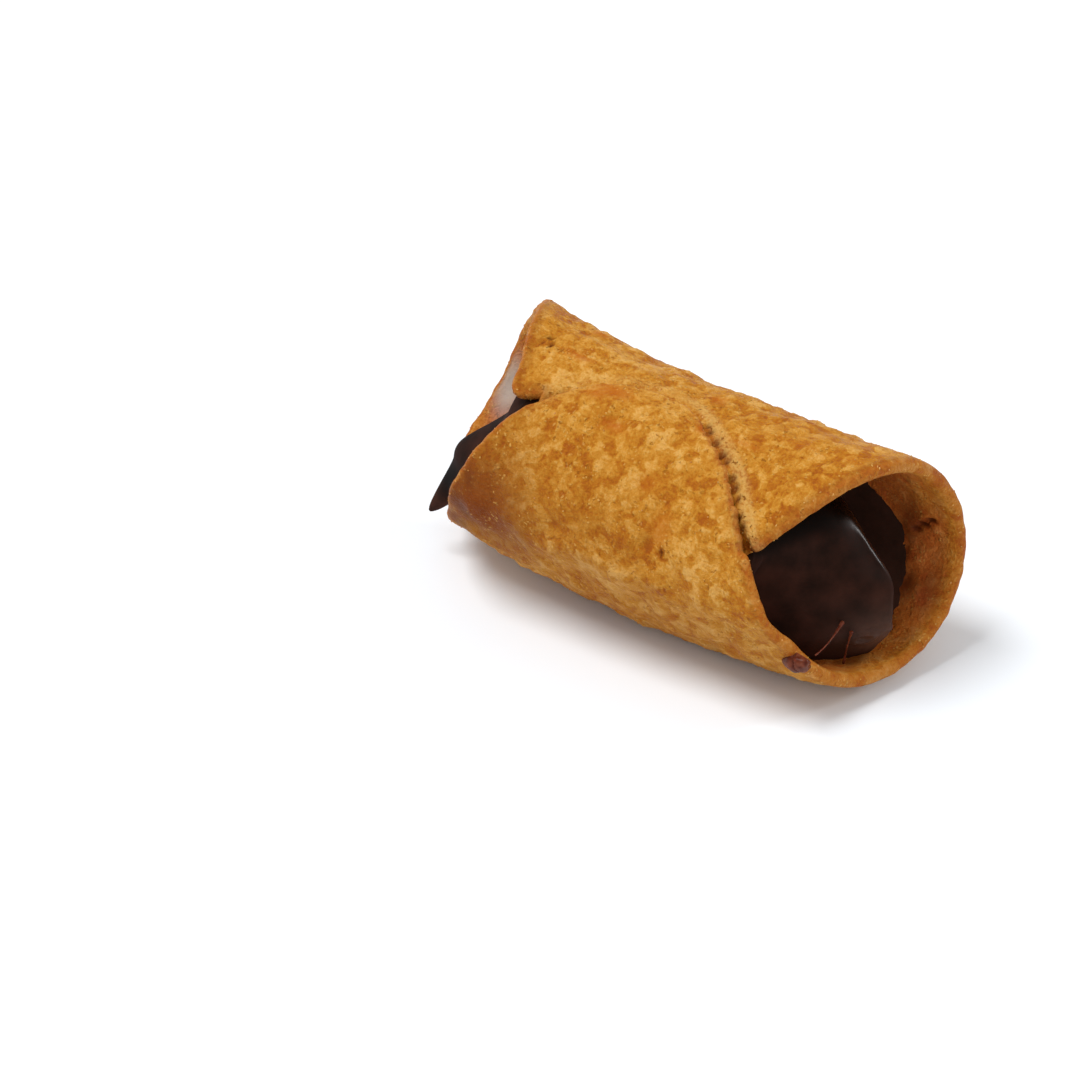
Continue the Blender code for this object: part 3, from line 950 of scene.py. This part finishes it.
# A drop on the lower lip and threads of cream pulled over to it: along, across, half length, half width
creamDrop = {
    "at": (22.8, 29.1),
    "size": (1.9, 1.6),
    "turn": 20.0,
    "waves": [(3.0, 0.5, 0.07), (5.0, 0.0, 0.05)],
    "lookFrom": 3.0,
    "high": 0.85,
    "dome": 2.4,
    "deep": 0.5,
    "rings": 14,
    "sides": 48,
}
creamThreads = {
    "sides": 10,
    "steps": 24,
    "waist": 0.55,
    "runs": [{"from": (23.6, -4.5, -4.5), "to": (24.2, -11.5, -5.0), "thick": (0.28, 0.10), "sag": 0.5},
             {"from": (24.7, -4.2, -5.6), "to": (23.3, -3.2, -11.2), "thick": (0.24, 0.18), "sag": -0.4}],
}
dripLook = {"body": "501E10", "edge": "78402C", "cloudSize": 0.9, "roughness": 0.22}


def makeDripMaterial():
    # The same cream spread thin, so redder and glassier where the crust shows through
    material, tree, surface = newMaterial("chocolate_cream_thin")
    inMm = patternPlace(tree)
    stops = [(0.35, dripLook["body"]), (0.7, dripLook["edge"])]
    cloud, toned = mottled(tree, inMm, dripLook["cloudSize"], 2.0, stops)
    bump = addNode(tree, "ShaderNodeBump", {"Height": cloud, "Strength": 0.2, "Distance": 0.1 * mm})
    feed(tree, surface, {
        "Base Color": toned, "Roughness": dripLook["roughness"], "Normal": bump, "Specular IOR Level": 0.1,
        "Subsurface Weight": 0.2, "Subsurface Scale": 0.6 * mm})
    return material


def makeDrop(material):
    # A low dome laid on the crust as it really stands, found by looking in along its own direction
    skin = shell.data
    crustTree = BVHTree.FromPolygons([v.co for v in skin.vertices], [p.vertices for p in skin.polygons])
    rows, sides = creamDrop["rings"], creamDrop["sides"]
    turn = np.linspace(0.0, 2.0 * math.pi, sides, endpoint=False)
    length, width = creamDrop["size"]
    rim = 1.0 + sum(size * np.sin(rate * turn + shift) for rate, shift, size in creamDrop["waves"])
    rim = rim * (length * np.cos(turn) + 1j * width * np.sin(turn)) * np.exp(1j * math.radians(creamDrop["turn"]))
    start = creamDrop["lookFrom"]
    points = []
    for ring in range(rows + 1):
        share = ring / rows
        high = creamDrop["high"] * (1.0 - share ** creamDrop["dome"])
        if ring == rows:
            high = -creamDrop["deep"]
        for place in complex(*creamDrop["at"]) + share * rim:
            base = skinPoint(place.real, place.imag, start)
            inward = skinPoint(place.real, place.imag, 0.0) - base
            inward = inward / np.linalg.norm(inward)
            hit = crustTree.ray_cast(Vector((base + seat) * mm), Vector(inward), 2.0 * start * mm)[0]
            ground = np.array(hit) / mm - seat if hit else base + start * inward
            points.append(ground - inward * high)
    number, ahead, quads = ringFaces(rows + 1, sides)
    faces = quads[sides:] + [(0, a, b) for a, b in zip(number[1], ahead[1])] + [number[-1][::-1].tolist()]
    return tidyMesh(addMesh("cream_drop", np.array(points), faces, material))


def tidyMesh(piece):
    # Loose points go and all faces are turned outwards
    form = bmesh.new()
    form.from_mesh(piece.data)
    bmesh.ops.delete(form, geom=[v for v in form.verts if not v.link_faces], context="VERTS")
    bmesh.ops.recalc_face_normals(form, faces=form.faces)
    form.to_mesh(piece.data)
    form.free()
    return piece


def makeThreads(material):
    # Tapered threads that sag between the two ends, as one mesh
    sides, steps = creamThreads["sides"], creamThreads["steps"]
    points, faces = [], []
    for thread in creamThreads["runs"]:
        start, end = np.array(thread["from"]), np.array(thread["to"])
        first = len(points)
        run = (end - start) / np.linalg.norm(end - start)
        beside = np.cross(run, (0.0, 0.0, 1.0))
        beside = beside / np.linalg.norm(beside)
        over = np.cross(beside, run)
        for step in range(steps + 1):
            share = step / steps
            bow = math.sin(math.pi * share)
            middle = start + (end - start) * share - np.array((0.0, 0.0, thread["sag"])) * bow
            thick = np.interp(share, (0.0, 1.0), thread["thick"]) * (1.0 - creamThreads["waist"] * bow)
            for k in range(sides):
                swing = 2.0 * math.pi * k / sides
                points.append(middle + thick * (math.cos(swing) * beside + math.sin(swing) * over))
        number, _, quads = ringFaces(steps + 1, sides, first)
        faces += quads + [number[0].tolist(), number[-1][::-1].tolist()]
    return tidyMesh(addMesh("cream_threads", np.array(points), faces, material))


thin = makeDripMaterial()
drop = makeDrop(thin)
threads = makeThreads(thin)
print("drop and threads")

for piece in (shell, filling, loose, drop, threads):
    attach(piece, "root")
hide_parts("shell")
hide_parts("filling")


# Floor, light and camera. Angles in degrees, lengths in mm but for the floor, which is in metres. A sun is the
# way to it, how wide it looks and its strength.
setting = {
    "floorHalf": 1.2,
    "floorColour": "F3F8FD",
    "worldStrength": 0.48,
    "suns": [((-0.36, -0.3, 1.0), 28.0, 2.12), ((0.6, 0.68, 0.42), 8.0, 0.6), ((0.9, -0.7, 0.8), 45.0, 0.45)],
    "azimuth": 36.0,
    "elevation": 33.0,
    "roll": -0.3,
    "distance": 395.0,
    "lens": 108.3333,
    "film": 36.0,
    "aside": 19.111,
    "below": -3.527,
}


def makeFloor():
    half = setting["floorHalf"]
    mesh = bpy.data.meshes.new("floor")
    corners = [(x * half, y * half, 0.0) for x, y in ((-1, -1), (1, -1), (1, 1), (-1, 1))]
    mesh.from_pydata(corners, [], [(0, 1, 2, 3)])
    material, tree, surface = newMaterial("white_table")
    feed(tree, surface, {
        "Base Color": colour(setting["floorColour"]), "Roughness": 0.9, "Specular IOR Level": 0.2})
    mesh.materials.append(material)
    addObject("floor", mesh)


def makeSun(source, angle, strength):
    light = bpy.data.lights.new("sun", "SUN")
    light.angle = math.radians(angle)
    light.energy = strength
    addObject("sun", light).rotation_euler = Vector(source).to_track_quat("Z", "Y").to_euler()


def makeWorld():
    world = bpy.data.worlds.new("soft white room")
    world.use_nodes = True
    tree = world.node_tree
    feed(tree, tree.nodes["Background"], {"Color": colour("FFFFFF"), "Strength": setting["worldStrength"]})
    bpy.context.scene.world = world


def makeCamera():
    a, e, r = (math.radians(setting[name]) for name in ("azimuth", "elevation", "roll"))
    camera = bpy.data.cameras.new("camera")
    camera.sensor_width = setting["film"]
    camera.lens = setting["lens"]
    camera.clip_start = 0.01
    camera.clip_end = 10.0
    turn = Matrix.Rotation(a, 3, "Z") @ Matrix.Rotation(math.pi / 2.0 - e, 3, "X") @ Matrix.Rotation(r, 3, "Z")
    place = Vector(seat) + turn @ Vector((-setting["aside"], setting["below"], setting["distance"]))
    holder = addObject("camera", camera)
    holder.matrix_world = Matrix.Translation(place * mm) @ turn.to_4x4()
    bpy.context.scene.camera = holder


makeFloor()
makeWorld()
for sun in setting["suns"]:
    makeSun(*sun)
makeCamera()
bpy.context.scene.view_settings.view_transform = "Standard"
print("floor, light and camera")
